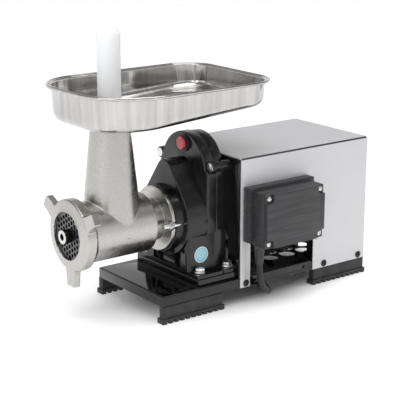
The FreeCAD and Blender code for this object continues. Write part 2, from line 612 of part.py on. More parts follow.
# ---------------------------------------------------------------- cover
def cover():
    """Folded stainless hood: top, two sides with the opening below the control box, and a back edge."""
    outer = box((COVER_X0, REAR_X), (-COVER_HALF_Y, COVER_HALF_Y), (COVER_LOW, COVER_TOP))
    outer = outer.makeFillet(3.0, edges_along(outer, X_AXIS, lambda c: c.z > 200))
    inner = box((COVER_X0 - 1, REAR_X + 1), (-COVER_HALF_Y + COVER_T, COVER_HALF_Y - COVER_T),
                (COVER_LOW - 1, COVER_TOP - COVER_T))
    inner = inner.makeFillet(1.6, edges_along(inner, X_AXIS, lambda c: c.z > 200))
    hood = outer.cut(inner)
    opening = box(CUTOUT_X, (-90, -80), (COVER_LOW - 1, CUTOUT_Z))
    window = box((275, 345), (-90, -80), (100, 165))
    screws = [rod_y(x, (-90, 90), COVER_SCREW_Z, 2.4) for x in COVER_SCREW_X]
    corners = []
    for x, turn in ((COVER_X0, 1), (REAR_X, -1)):
        block = box(sorted((x, x + turn * 4)), (-90, 90), (COVER_TOP - 4, COVER_TOP + 1))
        corners.append(block.cut(rod_y(x + turn * 4, (-91, 91), COVER_TOP - 4, 4.0)))
    side_only = box((COVER_X0 - 1, REAR_X + 1), (-COVER_HALF_Y + 3, COVER_HALF_Y - 3), (0, 400))
    return cut(hood, opening, window, *(screws + [corner.cut(side_only) for corner in corners]))


def cover_rear_panel():
    """Back sheet with rows of vent slots, set inside the hood."""
    x = (REAR_X - 1.9, REAR_X - 0.4)
    half = COVER_HALF_Y - COVER_T - 0.1
    panel = box(x, (-half, half), (BASE_LOW + 0.4, COVER_TOP - COVER_T - 0.1))
    panel = panel.makeFillet(3.0, edges_along(panel, X_AXIS, lambda c: c.z > 200))
    slots = []
    for column in (-1, 1):
        for row in range(9):
            z = 90.0 + 12.0 * row
            slots.append(box((x[0] - 1, x[1] + 1), sorted((column * 12, column * 60)), (z, z + 4.5)))
    return cut(panel, *slots)


def cover_front_plate():
    """Black closing sheet round the gear case, in the hood's mouth."""
    x = (CASE_X[6] - 4.5, CASE_X[6] - 2.6)
    half = COVER_HALF_Y - COVER_T - 0.1
    sheet = box(x, (-half, half), (BASE_TOP, COVER_TOP - COVER_T - 0.1))
    sheet = sheet.makeFillet(6.0, edges_along(sheet, X_AXIS, lambda c: c.z > 200))
    hole = box((x[0] - 1, x[1] + 1), (-58.4, 58.4), (BASE_TOP - 1, CASE_TOP_Z - 2.9))
    boss_hole = rod((x[0] - 1, x[1] + 1), 0, IDLER_Z, BACK_BOSS_R + 0.1)
    foot_gap = box((x[0] - 1, x[1] + 1), (-79.6, 79.6), (BASE_TOP - 1, FOOT_TOP + 10))
    return cut(sheet, hole, boss_hole, foot_gap)


def cover_screws():
    """Black round-headed screws along both lower edges of the cover."""
    screws = []
    for x in COVER_SCREW_X:
        head = Part.makeSphere(7.0, V(x, -COVER_HALF_Y + 4.0, COVER_SCREW_Z)).common(
            rod_y(x, (-COVER_HALF_Y - 4, -COVER_HALF_Y), COVER_SCREW_Z, 5.6))
        shank = rod_y(x, (-COVER_HALF_Y - 0.1, -COVER_HALF_Y + 9), COVER_SCREW_Z, 2.0)
        socket = rod_y(x, (-COVER_HALF_Y - 4, -COVER_HALF_Y - 1.2), COVER_SCREW_Z, 1.7)
        screw = fuse(head, shank).cut(socket)
        screws += [screw, mirrored_y(screw)]
    return group(screws)


# ---------------------------------------------------------------- control box
def lid_screw_places():
    (x0, x1), (z0, z1) = BOX_BODY
    return [(x, z) for x in (x0 + 7.0, x1 - 7.0) for z in (z0 + 7.0, z1 - 7.0)]


def control_box_back():
    """Frame that stands on the cover and closes the back of the box, with a cable window."""
    frame = rounded_block(BOX_BACK[0], (BOX_BACK_Y, -COVER_HALF_Y), BOX_BACK[1], 2.0, Y_AXIS)
    recess = box((280, 340), (BOX_BACK_Y - 1, -80), (105, 160))
    hollow = box((262, 353), (BOX_BACK_Y - 1, -COVER_HALF_Y - 4), (101, 172))
    return cut(frame, recess, hollow)


def control_box_body():
    """Open box with four screw posts."""
    (x0, x1), (z0, z1) = BOX_BODY
    shell = rounded_block((x0, x1), (BOX_JOINT_Y, BOX_BACK_Y), (z0, z1), 2.5, Y_AXIS)
    hollow = box((x0 + 3, x1 - 3), (BOX_JOINT_Y - 1, BOX_BACK_Y + 1), (z0 + 3, z1 - 3))
    posts = [box((x - 6, x + 6), (BOX_JOINT_Y, BOX_JOINT_Y + 9.4), (z - 6, z + 6)) for x, z in lid_screw_places()]
    shell = fuse(shell.cut(hollow), *posts)
    pilot = [rod_y(x, (BOX_JOINT_Y - 1, BOX_JOINT_Y + 8.5), z, 1.9) for x, z in lid_screw_places()]
    gland_x, gland_y = GLAND
    return cut(shell, rod_z(gland_x, gland_y, (z0 - 1, z0 + 4), 5.7), *pilot)


def control_box_lid():
    """Lid with four recessed corners for its screws."""
    (x0, x1), (z0, z1) = BOX_BODY
    lid = rounded_block((x0, x1), (BOX_LID_Y, BOX_JOINT_Y), (z0, z1), 2.5, Y_AXIS)
    face_edges = [e for e in lid.Edges if e.BoundBox.YMax < BOX_LID_Y + 0.1]
    lid = lid.makeFillet(1.2, face_edges)
    recesses, holes = [], []
    for x, z in lid_screw_places():
        recesses.append(rod_y(x, (BOX_LID_Y - 1, BOX_LID_Y + 5), z, 6.2))
        out_x = sorted((x, x + math.copysign(12, x - (x0 + x1) / 2)))
        out_z = sorted((z, z + math.copysign(12, z - (z0 + z1) / 2)))
        recesses.append(box(out_x, (BOX_LID_Y - 1, BOX_LID_Y + 5), (z - 6.2, z + 6.2)))
        recesses.append(box((x - 6.2, x + 6.2), (BOX_LID_Y - 1, BOX_LID_Y + 5), out_z))
        holes.append(rod_y(x, (BOX_LID_Y, BOX_JOINT_Y + 1), z, 2.2))
    return cut(lid, *(recesses + holes))


def lid_screws():
    """Bright pan-headed screws in the lid's corner recesses."""
    screws = []
    for x, z in lid_screw_places():
        seat = BOX_LID_Y + 5
        head = Part.makeSphere(5.2, V(x, seat + 2.4, z)).common(rod_y(x, (seat - 4, seat), z, 4.0))
        screw = fuse(head, rod_y(x, (seat - 0.1, BOX_JOINT_Y + 8), z, 1.85))
        screws.append(cut(screw, box((x - 0.5, x + 0.5), (seat - 4, seat - 1.5), (z - 2.6, z + 2.6)),
                          box((x - 2.6, x + 2.6), (seat - 4, seat - 1.5), (z - 0.5, z + 0.5))))
    return group(screws)


def run_capacitor():
    """Round can with two tab terminals."""
    can = rod((282, 336), -112.5, 150.0, 11.5)
    tabs = [box((335, 341), (-113.5, -111.5), (z - 3, z + 3)) for z in (145.5, 154.5)]
    return fuse(can, *tabs)


def terminal_block():
    """Row of screw terminals on the floor of the box."""
    block = box((285, 333), (-120, -104), (98, 114))
    wells = [rod_z(291 + 9.0 * step, -112, (108, 115), 2.4) for step in range(5)]
    return cut(block, *wells)


def cable_gland():
    """Nut under the box with a tapered strain relief below it."""
    x, y = GLAND
    z0 = BOX_BODY[1][0]
    nut = hexagon(x, y, (z0 - 5, z0), 16.0, Z_AXIS)
    thread = rod_z(x, y, (z0 - 1, z0 + 10), 5.6)
    taper = Part.makeCone(5.9, 7.4, z0 - 5 - GLAND_LOW, V(x, y, GLAND_LOW), Z_AXIS)
    bore = rod_z(x, y, (GLAND_LOW + 8, z0 + 11), CORD_R)
    return fuse(nut, thread, taper).cut(bore)


# ---------------------------------------------------------------- grinder head
def neck_radius(z):
    return NECK_TOP_R + (NECK_TOP - z) * NECK_SLOPE


def grinder_body():
    """Barrel, feed neck, rear hub and slotted mounting flange in one casting."""
    end = BARREL_END_X
    barrel = turned(((BODY_X0, 0), (BODY_X0, 44.6), (22, 44.6), (24, BARREL_R), (end - 1.5, BARREL_R),
                     (end, BARREL_R - 1.5), (end, 30), (FLANGE_X[0], 30), (FLANGE_X[0], FLANGE_R - 0.8),
                     (FLANGE_X[0] + 0.8, FLANGE_R), (FLANGE_X[1], FLANGE_R), (FLANGE_X[1], 0)), SCREW_Z)
    low = SCREW_Z - 6
    neck = Part.makeCone(neck_radius(low), NECK_TOP_R, NECK_TOP - low, V(NECK_X, 0, low), Z_AXIS)
    solid = fuse(barrel, neck)
    bore = turned(((BODY_X0 - 1, 0), (BODY_X0 - 1, PLATE_R + 0.05), (PLATE_X[1], PLATE_R + 0.05),
                   (PLATE_X[1], BARREL_BORE_R), (end - 14, BARREL_BORE_R - 1), (end - 6, JOURNAL_R + RUN_FIT),
                   (160, JOURNAL_R + RUN_FIT), (160, 0)), SCREW_Z)
    throat = rod_z(NECK_X, 0, (SCREW_Z, NECK_TOP + 1), SPOUT_R + 0.4)
    slots = []
    for side in (-1, 1):
        slots.append(rod((145, 153), side * STUD_Y, SCREW_Z, 4.6))
        slots.append(box((145, 153), sorted((side * STUD_Y, side * 60)), (SCREW_Z - 4.6, SCREW_Z + 4.6)))
    key = rod((BODY_X0 - 1, PLATE_X[1] - 0.5), PLATE_R + 0.5, SCREW_Z, 2.6)
    return cut(solid, bore, throat, key, *slots)


def plate_key():
    """Pin in the barrel's rim that stops the plate from turning."""
    return rod((BODY_X0, PLATE_X[1] - 0.5), PLATE_R + 0.5, SCREW_Z, 2.6)


def grinder_plate():
    """Perforated disc with a central bearing hole and a notch for the key."""
    disc = rod(PLATE_X, 0, SCREW_Z, PLATE_R)
    pitch, hole_r = 8.0, 3.0
    column_step = pitch * math.sqrt(3) / 2
    holes = [rod((0, 13), 0, SCREW_Z, PIN_R + RUN_FIT), rod((0, 13), PLATE_R + 0.5, SCREW_Z, 2.7)]
    for column in range(-5, 6):
        for step in range(-6, 7):
            y = column_step * column
            z = pitch * (step + 0.5 * (column % 2))
            if 13.8 < math.hypot(y, z) < 34.5:
                holes.append(rod((0, 13), y, SCREW_Z + z, hole_r))
    return cut(disc, *holes)


def knife():
    """Four-armed cutter with a square hole."""
    x = (PLATE_X[1] + 0.3, PLATE_X[1] + 5.5)
    arm = box(x, (-7, 7), (-34, 34)).common(rod(x, 0, 0, 34))
    cross = arm.copy()
    cross.rotate(V(0, 0, 0), X_AXIS, 90)
    cross = fuse(arm, cross, rod(x, 0, 0, 15))
    cross.rotate(V(0, 0, 0), X_AXIS, 20)
    cross.translate(V(0, 0, SCREW_Z))
    return cross.cut(box((x[0] - 1, x[1] + 1), (-7, 7), (SCREW_Z - 7, SCREW_Z + 7)))


def feed_screw():
    """Worm with a tapering core, square knife seat, hollow front pin and square drive tang."""
    x0 = PLATE_X[1] + 5.5
    core = turned(((x0, 0), (x0, 15), (BARREL_END_X - 16, 22), (BARREL_END_X - 7, JOURNAL_R),
                   (152, JOURNAL_R), (152, 0)), SCREW_Z)
    flight_r, pitch, thickness = 35.6, 36.0, 6.0
    helix = Part.makeHelix(pitch, 84.0, 24.0)
    profile = Part.makePolygon([V(14, 0, -thickness / 2), V(flight_r, 0, -thickness / 4),
                                V(flight_r, 0, thickness / 4), V(14, 0, thickness / 2),
                                V(14, 0, -thickness / 2)])
    flight = Part.Wire(helix).makePipeShell([profile], True, True)
    flight.rotate(V(0, 0, 0), Y_AXIS, 90)
    flight.translate(V(x0 + 4, 0, SCREW_Z))
    seat = box((x0 - 6, x0 + 1), (-6.9, 6.9), (SCREW_Z - 6.9, SCREW_Z + 6.9))
    pin = rod((OUTLET_PIN_X, PLATE_X[1]), 0, SCREW_Z, PIN_R)
    tang = box((151, 171), (-7.9, 7.9), (SCREW_Z - 7.9, SCREW_Z + 7.9))
    trimmed = flight.common(rod((x0, x0 + 88), 0, SCREW_Z, flight_r + 1))
    screw = fuse(core, seat, pin, tang, trimmed)
    return screw.cut(rod((OUTLET_PIN_X - 1, 8), 0, SCREW_Z, PIN_BORE_R))


def ring_nut():
    """Front ring with three lugs; its lip holds the plate."""
    thread_r, lip_r = 45.0, 34.5
    body = turned(((-3.0, lip_r), (-1.4, lip_r + 4), (0.6, 50.0), (2.2, 52.0), (15.5, 52.0), (18.5, 49.5),
                   (20.0, 48.6), (20.0, thread_r), (1.7, thread_r), (1.7, lip_r)), SCREW_Z)
    lugs = []
    for turn in (30, 150, 270):
        outline = ((-14, 44), (14, 44), (10.5, 56), (8.8, 75.4), (-8.8, 75.4), (-10.5, 56))
        lug = prism_x(outline, (1.6, 12.5))
        lug = lug.cut(rod((0, 17), 0, 0, 48.0))
        lug = lug.makeFillet(1.5, edges_along(lug, X_AXIS, lambda c: c.z > 60))
        lug.rotate(V(0, 0, 0), X_AXIS, turn - 90)
        lug.translate(V(0, 0, SCREW_Z))
        lugs.append(lug)
    return fuse(body, *lugs)


def clamp_fasteners():
    """Studs in the gearbox collar and the nuts that clamp the head's flange."""
    studs, nuts = [], []
    for side in (-1, 1):
        y = side * STUD_Y
        studs.append(rod((130.5, 169), y, SCREW_Z, STUD_R - 0.02))
        nut = hexagon((FLANGE_X[0] - 6.5, FLANGE_X[0]), y, SCREW_Z, 13.0, X_AXIS)
        nuts.append(nut.cut(rod((135, 150), y, SCREW_Z, STUD_R)))
    return group(studs), group(nuts)


# ---------------------------------------------------------------- tray and pusher
def tray_outline(inset, z):
    """Closed level wire of four lines and four arcs, at a distance inside the rim's outer edge."""
    x0, x1, half_y = TRAY_X[0] + inset, TRAY_X[1] - inset, TRAY_HALF_Y - inset
    rear, far, near = TRAY_CORNER_R - inset, TRAY_FAR_R - inset, TRAY_NEAR_R - inset
    centres = [((x1 - rear, half_y - rear), 0, rear), ((x0 + far, half_y - far), 90, far),
               ((x0 + near, -half_y + near), 180, near), ((x1 - rear, -half_y + rear), 270, rear)]
    edges = []
    for index, ((cx, cy), start, radius) in enumerate(centres):
        spots = []
        for turn in (start, start + 45, start + 90):
            t = math.radians(turn)
            spots.append(V(cx + radius * math.cos(t), cy + radius * math.sin(t), z))
        edges.append(Part.Arc(*spots).toShape())
        (nx, ny), next_start, next_radius = centres[(index + 1) % 4]
        t = math.radians(next_start)
        follow = V(nx + next_radius * math.cos(t), ny + next_radius * math.sin(t), z)
        edges.append(Part.LineSegment(spots[2], follow).toShape())
    return Part.Wire(edges)


def tray_floor(x, lift=0.0):
    """Height of the tray's sloping underside at a station."""
    return TRAY_Z[0] + lift + (x - sum(TRAY_X) / 2) * math.tan(math.radians(TRAY_SLOPE))


def tray_bowl(shrink):
    """Solid bowl shape with a sloping floor, a wall that leans in a little and a rounded bottom edge."""
    middle = sum(TRAY_X) / 2
    top_in, bottom_in = RIM_OUT + shrink, RIM_OUT + 2.0 + shrink
    top_z = TRAY_Z[1] - 1.0 if shrink == 0 else TRAY_Z[1] + 1.0
    bottom = tray_outline(bottom_in, TRAY_Z[0] + shrink)
    bottom.rotate(V(middle, 0, TRAY_Z[0] + shrink), Y_AXIS, -TRAY_SLOPE)
    bowl = Part.makeLoft([bottom, tray_outline(top_in, top_z)], True, True)
    floor_edges = [e for e in bowl.Edges
                   if abs(e.CenterOfMass.z - tray_floor(e.CenterOfMass.x, shrink)) < 0.5]
    return bowl.makeFillet(TRAY_BEND_R - shrink, floor_edges)


def feed_tray():
    """Deep stainless tray with a rolled rim and a spout that drops into the neck."""
    hollow = tray_bowl(TRAY_T)
    bowl = tray_bowl(0).cut(hollow)
    lip = Part.Face(tray_outline(RIM_R, TRAY_Z[1] - 1.0 - TRAY_T)).extrude(V(0, 0, TRAY_T))
    lip = lip.cut(hollow)
    path = tray_outline(RIM_R, TRAY_Z[1] - RIM_R)
    start = path.Edges[1].valueAt(path.Edges[1].FirstParameter)
    circle = Part.Wire(Part.makeCircle(RIM_R, start, path.Edges[1].tangentAt(path.Edges[1].FirstParameter)))
    order = Part.Wire(path.Edges[1:] + path.Edges[:1])
    rim = order.makePipeShell([circle], True, False)
    mouth_z = tray_floor(NECK_X)
    spout = rod_z(NECK_X, 0, (mouth_z - SPOUT_DROP, mouth_z + 5), SPOUT_R).cut(hollow)
    tray = fuse(bowl, lip, rim, spout)
    return tray.cut(rod_z(NECK_X, 0, (mouth_z - SPOUT_DROP - 1, mouth_z + 10), SPOUT_R - TRAY_T))


def pusher():
    """Round plastic rod with a domed top and a wider plunger that fits the neck."""
    stem = rod_z(NECK_X, 0, (200.0, PUSHER_TOP), PUSHER_R)
    stem = stem.makeFillet(15.0, [e for e in stem.Edges if e.BoundBox.ZMin > PUSHER_TOP - 0.1])
    plunger = rod_z(NECK_X, 0, (194.0, 262.0), PLUNGER_R)
    plunger = plunger.makeFillet(3.0, [e for e in plunger.Edges if e.BoundBox.ZMax - e.BoundBox.ZMin < 0.1])
    return fuse(stem, plunger)


# ---------------------------------------------------------------- supply cord
def cord_tube(route):
    """Tube of straight runs and tangent arcs, each arc as large as its two runs allow."""
    points = [V(*point) for point in route]
    edges, here, radii = [], points[0], []
    for before, corner, after in zip(points, points[1:], points[2:]):
        run_in, run_out = corner - before, after - corner
        turn = run_in.getAngle(run_out)
        reach = 0.45 * min(run_in.Length, run_out.Length)
        radii.append(round(reach / math.tan(turn / 2), 1))
        into, out = run_in.normalize(), run_out.normalize()
        start, end = corner - into * reach, corner + out * reach
        radius = reach / math.tan(turn / 2)
        inward = ((start + end) * 0.5 - corner).normalize()
        middle = corner + inward * (math.hypot(radius, reach) - radius)
        edges.append(Part.LineSegment(here, start).toShape())
        edges.append(Part.Arc(start, middle, end).toShape())
        here = end
    edges.append(Part.LineSegment(here, points[-1]).toShape())
    path = Part.Wire(edges)
    circle = Part.Wire(Part.makeCircle(CORD_R, points[0], points[1] - points[0]))
    solid = path.makePipeShell([circle], True, False)
    section = math.pi * CORD_R ** 2
    print("cord radii", radii, "length", round(path.Length, 1), "volume ratio",
          round(solid.Volume / (section * path.Length), 4))
    return solid


def cord_coil():
    """Outer shape of the tied coil: two turns wide and two high."""
    inner, outer = COIL_MEAN_R - 2 * CORD_R, COIL_MEAN_R + 2 * CORD_R
    x, y = COIL_CENTRE
    return rod_z(x, y, (0, 4 * CORD_R), outer).cut(rod_z(x, y, (-1, 4 * CORD_R + 1), inner))


def cord_plug():
    """Round two-pin plug with a tapered boot, lying on its side."""
    x, y, z = PLUG_AXIS
    boot = Part.makeCone(5.4, 8.0, 24, V(x, y, z), X_AXIS)
    bell = Part.makeCone(9.0, 17.4, 10, V(x + 23, y, z), X_AXIS)
    body = rod((x + 33, x + 46), y, z, 17.4)
    pins = [rod((x + 45, x + 64), y, z + side * 9.5, 2.4) for side in (-1, 1)]
    return fuse(boot, bell, body, *pins)


# ---------------------------------------------------------------- write every piece
def main():
    os.makedirs("parts", exist_ok=True)
    foot_bolts, foot_washers = foot_fasteners()
    motor_pinion, idler_gear, idler_shaft, output_gear = gear_train()
    clamp_studs, clamp_nuts = clamp_fasteners()
    bench = {
        "base_pan": base_pan(), "rubber_feet": rubber_feet(), "spacer_plate": spacer_plate(),
        "foot_bolts": foot_bolts, "foot_washers": foot_washers,
        "gearbox_front_case": gearbox_front_case(), "gearbox_gasket": gearbox_gasket(),
        "gearbox_rear_case": gearbox_rear_case(), "case_screws": case_screws(),
        "bearing_bridge": bearing_bridge(), "output_seal": output_seal(),
        "output_front_bearing": bearing((163.5, 176.5), SCREW_Z, 15.0, 27.5),
        "output_rear_bearing": bearing((204.5, 213.5), SCREW_Z, 10.0, 21.0),
        "intermediate_bearings": group([bearing((168.5, 178.5), IDLER_Z, 6.0, 16.0),
                                        bearing((234, 244), IDLER_Z, 6.0, 16.0)]),
        "round_sticker": round_sticker(), "button_bezel": button_bezel(), "red_button": red_button(),
        "switch_block": switch_block(), "motor_pinion": motor_pinion, "intermediate_gear": idler_gear,
        "intermediate_shaft": idler_shaft, "output_gear": output_gear, "output_shaft": output_shaft(),
        "motor_front_shield": motor_front_shield(), "motor_flange_screws": motor_flange_screws(),
        "motor_rear_shield": motor_rear_shield(), "motor_housing": motor_housing(),
        "motor_tie_rods": tie_rods(), "stator_core": stator_core(), "stator_windings": stator_windings(),
        "motor_bearings": group([bearing((246, 256), MOTOR_Z, 8.5, 17.5),
                                 bearing((401, 411), MOTOR_Z, 8.5, 17.5)]),
        "rotor_core": rotor_core(), "motor_shaft": motor_shaft(), "cooling_fan": cooling_fan(),
        "fan_cowl": fan_cowl(), "motor_support": motor_support(), "cover": cover(),
        "cover_rear_panel": cover_rear_panel(), "cover_front_plate": cover_front_plate(),
        "cover_screws": cover_screws(), "control_box_back": control_box_back(),
        "control_box_body": control_box_body(), "control_box_lid": control_box_lid(),
        "lid_screws": lid_screws(), "run_capacitor": run_capacitor(), "terminal_block": terminal_block(),
        "cable_gland": cable_gland(), "clamp_studs": clamp_studs, "clamp_nuts": clamp_nuts,
        "grinder_body": grinder_body(), "grinder_plate": grinder_plate(), "plate_key": plate_key(),
        "knife": knife(), "feed_screw": feed_screw(), "ring_nut": ring_nut(), "feed_tray": feed_tray(),
        "pusher": pusher(), "cord_lead": group([cord_tube(LEAD_ROUTE), cord_tube(TAIL_ROUTE)]),
        "cord_coil": cord_coil(), "cord_plug": cord_plug(),
    }
    for name, shape in bench.items():
        save(name, shape)


main()
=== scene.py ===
"""Looks of the electric meat grinder: finishes, rounded sheet metal, cast surfaces, cord, studio."""
import math

import bmesh
import bpy
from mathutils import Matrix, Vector


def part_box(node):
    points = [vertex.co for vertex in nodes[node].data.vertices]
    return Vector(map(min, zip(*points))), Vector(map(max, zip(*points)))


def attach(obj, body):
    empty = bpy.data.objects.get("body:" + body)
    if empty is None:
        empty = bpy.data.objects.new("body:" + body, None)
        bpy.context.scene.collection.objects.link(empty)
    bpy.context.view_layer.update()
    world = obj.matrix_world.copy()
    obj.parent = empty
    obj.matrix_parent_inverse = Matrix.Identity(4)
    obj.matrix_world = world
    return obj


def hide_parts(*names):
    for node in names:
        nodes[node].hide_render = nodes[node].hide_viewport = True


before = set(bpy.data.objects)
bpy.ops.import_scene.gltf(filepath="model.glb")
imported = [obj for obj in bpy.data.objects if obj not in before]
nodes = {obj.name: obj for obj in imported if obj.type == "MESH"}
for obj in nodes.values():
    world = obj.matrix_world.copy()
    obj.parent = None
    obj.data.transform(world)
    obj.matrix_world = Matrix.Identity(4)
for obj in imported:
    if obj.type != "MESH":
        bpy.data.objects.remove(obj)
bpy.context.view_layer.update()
scene = bpy.context.scene

# ---------------------------------------------------------------- places read from the frame
PLATE_LOW, PLATE_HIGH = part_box("grinder_plate")
AXIS_Y = (PLATE_LOW.y + PLATE_HIGH.y) / 2
AXIS_Z = (PLATE_LOW.z + PLATE_HIGH.z) / 2
NUT_FACE_X = PLATE_LOW.x - 0.002
SCREW_TIP_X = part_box("feed_screw")[0].x


def at(x, y, z):
    """A place from its station behind the ring nut's face, its offset from the screw's plane, its height."""
    return Vector((NUT_FACE_X + x, AXIS_Y + y, z))


# ---------------------------------------------------------------- camera and studio
CAMERA_PLACE, CAMERA_TARGET = at(-0.8511, -1.4400, 0.6468), at(0.2314, 0.0, 0.1440)
SENSOR_MM, LENS_MM = 36.0, 111.75
FLOOR_HALF = 14.0
GLOW_FROM, GLOW_TO = 0.75, 1.5      # where the floor's own light starts and is full, in half bases
GLOW = 0.42                         # its strength


def add_camera():
    data = bpy.data.cameras.new("camera")
    data.sensor_width = SENSOR_MM
    data.lens = LENS_MM
    data.clip_end = 50.0
    camera = bpy.data.objects.new("camera", data)
    scene.collection.objects.link(camera)
    camera.location = CAMERA_PLACE
    camera.rotation_euler = (CAMERA_TARGET - CAMERA_PLACE).to_track_quat("-Z", "Y").to_euler()
    scene.camera = camera


def area_light(name, place, target, size, power):
    data = bpy.data.lights.new(name, "AREA")
    data.shape = "RECTANGLE"
    data.size, data.size_y = size
    data.energy = power
    light = bpy.data.objects.new(name, data)
    scene.collection.objects.link(light)
    light.location = place
    light.rotation_euler = (target - place).to_track_quat("-Z", "Y").to_euler()


def add_world():
    """Pale studio surroundings: bright low walls, a dimmer band above them, a bright ceiling."""
    world = bpy.data.worlds.new("studio")
    scene.world = world
    world.use_nodes = True
    tree = world.node_tree
    background = tree.nodes["Background"]
    coordinates = tree.nodes.new("ShaderNodeTexCoord")
    split = tree.nodes.new("ShaderNodeSeparateXYZ")
    ramp = tree.nodes.new("ShaderNodeValToRGB")
    tree.links.new(coordinates.outputs["Generated"], split.inputs[0])
    tree.links.new(split.outputs["Z"], ramp.inputs["Fac"])
    tree.links.new(ramp.outputs["Color"], background.inputs["Color"])
    stops = ramp.color_ramp.elements
    stops[0].position, stops[0].color = 0.0, (0.95, 0.95, 0.96, 1)
    stops[1].position, stops[1].color = 1.0, (1.0, 1.0, 1.0, 1)
    for position, grey in ((0.34, 0.88), (0.50, 0.30), (0.80, 0.30), (0.90, 0.95)):
        stop = stops.new(position)
        stop.color = (grey, grey, grey * 1.01, 1)
    background.inputs["Strength"].default_value = 1.0


def add_floor(material):
    mesh = bpy.data.meshes.new("floor")
    signs = ((-1, -1), (1, -1), (1, 1), (-1, 1))
    mesh.from_pydata([(x * FLOOR_HALF, y * FLOOR_HALF, 0.0) for x, y in signs], [], [(0, 1, 2, 3)])
    floor = bpy.data.objects.new("floor", mesh)
    scene.collection.objects.link(floor)
    floor.data.materials.append(material)


# ---------------------------------------------------------------- material helpers
def new_material(name, color, metallic, roughness, **sockets):
    """A Principled material; sockets are further inputs set as plain values."""
    material = bpy.data.materials.new(name)
    material.use_nodes = True
    shader = material.node_tree.nodes["Principled BSDF"]
    shader.inputs["Base Color"].default_value = (*color, 1)
    shader.inputs["Metallic"].default_value = metallic
    shader.inputs["Roughness"].default_value = roughness
    for socket, value in sockets.items():
        shader.inputs[socket.replace("_", " ")].default_value = value
    return material


def add_node(material, kind, **settings):
    node = material.node_tree.nodes.new(kind)
    for key, value in settings.items():
        setattr(node, key, value)
    return node


def link(material, output, entry):
    material.node_tree.links.new(output, entry)


def noise(material, scale, detail=3.0, stretch=(1, 1, 1), roughness=0.5):
    """Noise in object space, scale in features per metre; stretch divides it per axis."""
    place = add_node(material, "ShaderNodeTexCoord")
    mapping = add_node(material, "ShaderNodeMapping")
    mapping.inputs["Scale"].default_value = stretch
    texture = add_node(material, "ShaderNodeTexNoise")
    texture.inputs["Scale"].default_value = scale
    texture.inputs["Detail"].default_value = detail
    texture.inputs["Roughness"].default_value = roughness
    link(material, place.outputs["Object"], mapping.inputs["Vector"])
    link(material, mapping.outputs["Vector"], texture.inputs["Vector"])
    return texture.outputs["Fac"]


def remap(material, value, low, high):
    """Map 0.3..0.7 of a noise to low..high."""
    node = add_node(material, "ShaderNodeMapRange")
    node.inputs["From Min"].default_value = 0.3
    node.inputs["From Max"].default_value = 0.7
    node.inputs["To Min"].default_value = low
    node.inputs["To Max"].default_value = high
    link(material, value, node.inputs["Value"])
    return node.outputs["Result"]


def blend_colors(material, value, dark, light):
    """Vary the base colour between two tones."""
    ramp = add_node(material, "ShaderNodeValToRGB")
    ramp.color_ramp.elements[0].position, ramp.color_ramp.elements[1].position = 0.32, 0.68
    ramp.color_ramp.elements[0].color = (*dark, 1)
    ramp.color_ramp.elements[1].color = (*light, 1)
    link(material, value, ramp.inputs["Fac"])
    link(material, ramp.outputs["Color"], shader_of(material).inputs["Base Color"])


def shader_of(material):
    return material.node_tree.nodes["Principled BSDF"]


def vary_roughness(material, value, low, high):
    link(material, remap(material, value, low, high), shader_of(material).inputs["Roughness"])


def add_bump(material, value, strength, distance):
    """One bump layer on top of any bump the material already has."""
    bump = add_node(material, "ShaderNodeBump")
    bump.inputs["Strength"].default_value = strength
    bump.inputs["Distance"].default_value = distance
    entry = shader_of(material).inputs["Normal"]
    if entry.is_linked:
        link(material, entry.links[0].from_socket, bump.inputs["Normal"])
    link(material, value, bump.inputs["Height"])
    link(material, bump.outputs["Normal"], entry)


# ---------------------------------------------------------------- finishes
def gloss_enamel():
    """Black stoved enamel on folded sheet: deep gloss with a faint orange peel and dust haze."""
    material = new_material("gloss_enamel", (0.004, 0.004, 0.005), 0.0, 0.06)
    vary_roughness(material, noise(material, 14, 4), 0.04, 0.10)
    add_bump(material, noise(material, 260, 2), 0.03, 0.0005)
    return material


def casting_paint():
    """Gloss black paint over a sanded casting: soft waviness and a fine orange peel."""
    material = new_material("casting_paint", (0.006, 0.006, 0.007), 0.0, 0.2)
    vary_roughness(material, noise(material, 45, 5), 0.13, 0.28)
    add_bump(material, noise(material, 60, 3), 0.08, 0.0010)
    add_bump(material, noise(material, 620, 2), 0.10, 0.0003)
    return material


def rubber():
    material = new_material("moulded_rubber", (0.022, 0.022, 0.023), 0.0, 0.62)
    blend_colors(material, noise(material, 55, 5), (0.016, 0.016, 0.017), (0.034, 0.034, 0.035))
    vary_roughness(material, noise(material, 30, 3), 0.5, 0.72)
    add_bump(material, noise(material, 1300, 3), 0.25, 0.0002)
    return material


def polished_sheet():
    """Satin stainless cover: an even pale grey with a trace of the rolling grain along X."""
    tone = (0.63, 0.63, 0.64)
    material = new_material("satin_sheet", tone, 0.35, 0.42)
    vary_roughness(material, noise(material, 90, 4, (0.15, 1, 1)), 0.38, 0.46)
    # painted dark reflection line along the cover's bends
    paint_dark_bend_reflection(material, tone)
    return material


def paint_dark_bend_reflection(material, tone):
    """Painted dark reflection on the folded edges: the tone drops to near black where the normal leans
    between side and top.
    """
    facing = add_node(material, "ShaderNodeNewGeometry")
    split = add_node(material, "ShaderNodeSeparateXYZ")
    link(material, facing.outputs["True Normal"], split.inputs[0])
    lean = add_node(material, "ShaderNodeMath", operation="MULTIPLY")
    side = add_node(material, "ShaderNodeMath", operation="ABSOLUTE")
    link(material, split.outputs["Y"], side.inputs[0])
    link(material, side.outputs[0], lean.inputs[0])
    link(material, split.outputs["Z"], lean.inputs[1])
    ramp = add_node(material, "ShaderNodeValToRGB")
    ramp.color_ramp.elements[0].position, ramp.color_ramp.elements[1].position = 0.12, 0.34
    ramp.color_ramp.elements[0].color = (*tone, 1)
    # near-black tone of the painted bend reflection
    ramp.color_ramp.elements[1].color = (0.05, 0.05, 0.05, 1)
    link(material, lean.outputs[0], ramp.inputs["Fac"])
    link(material, ramp.outputs["Color"], shader_of(material).inputs["Base Color"])


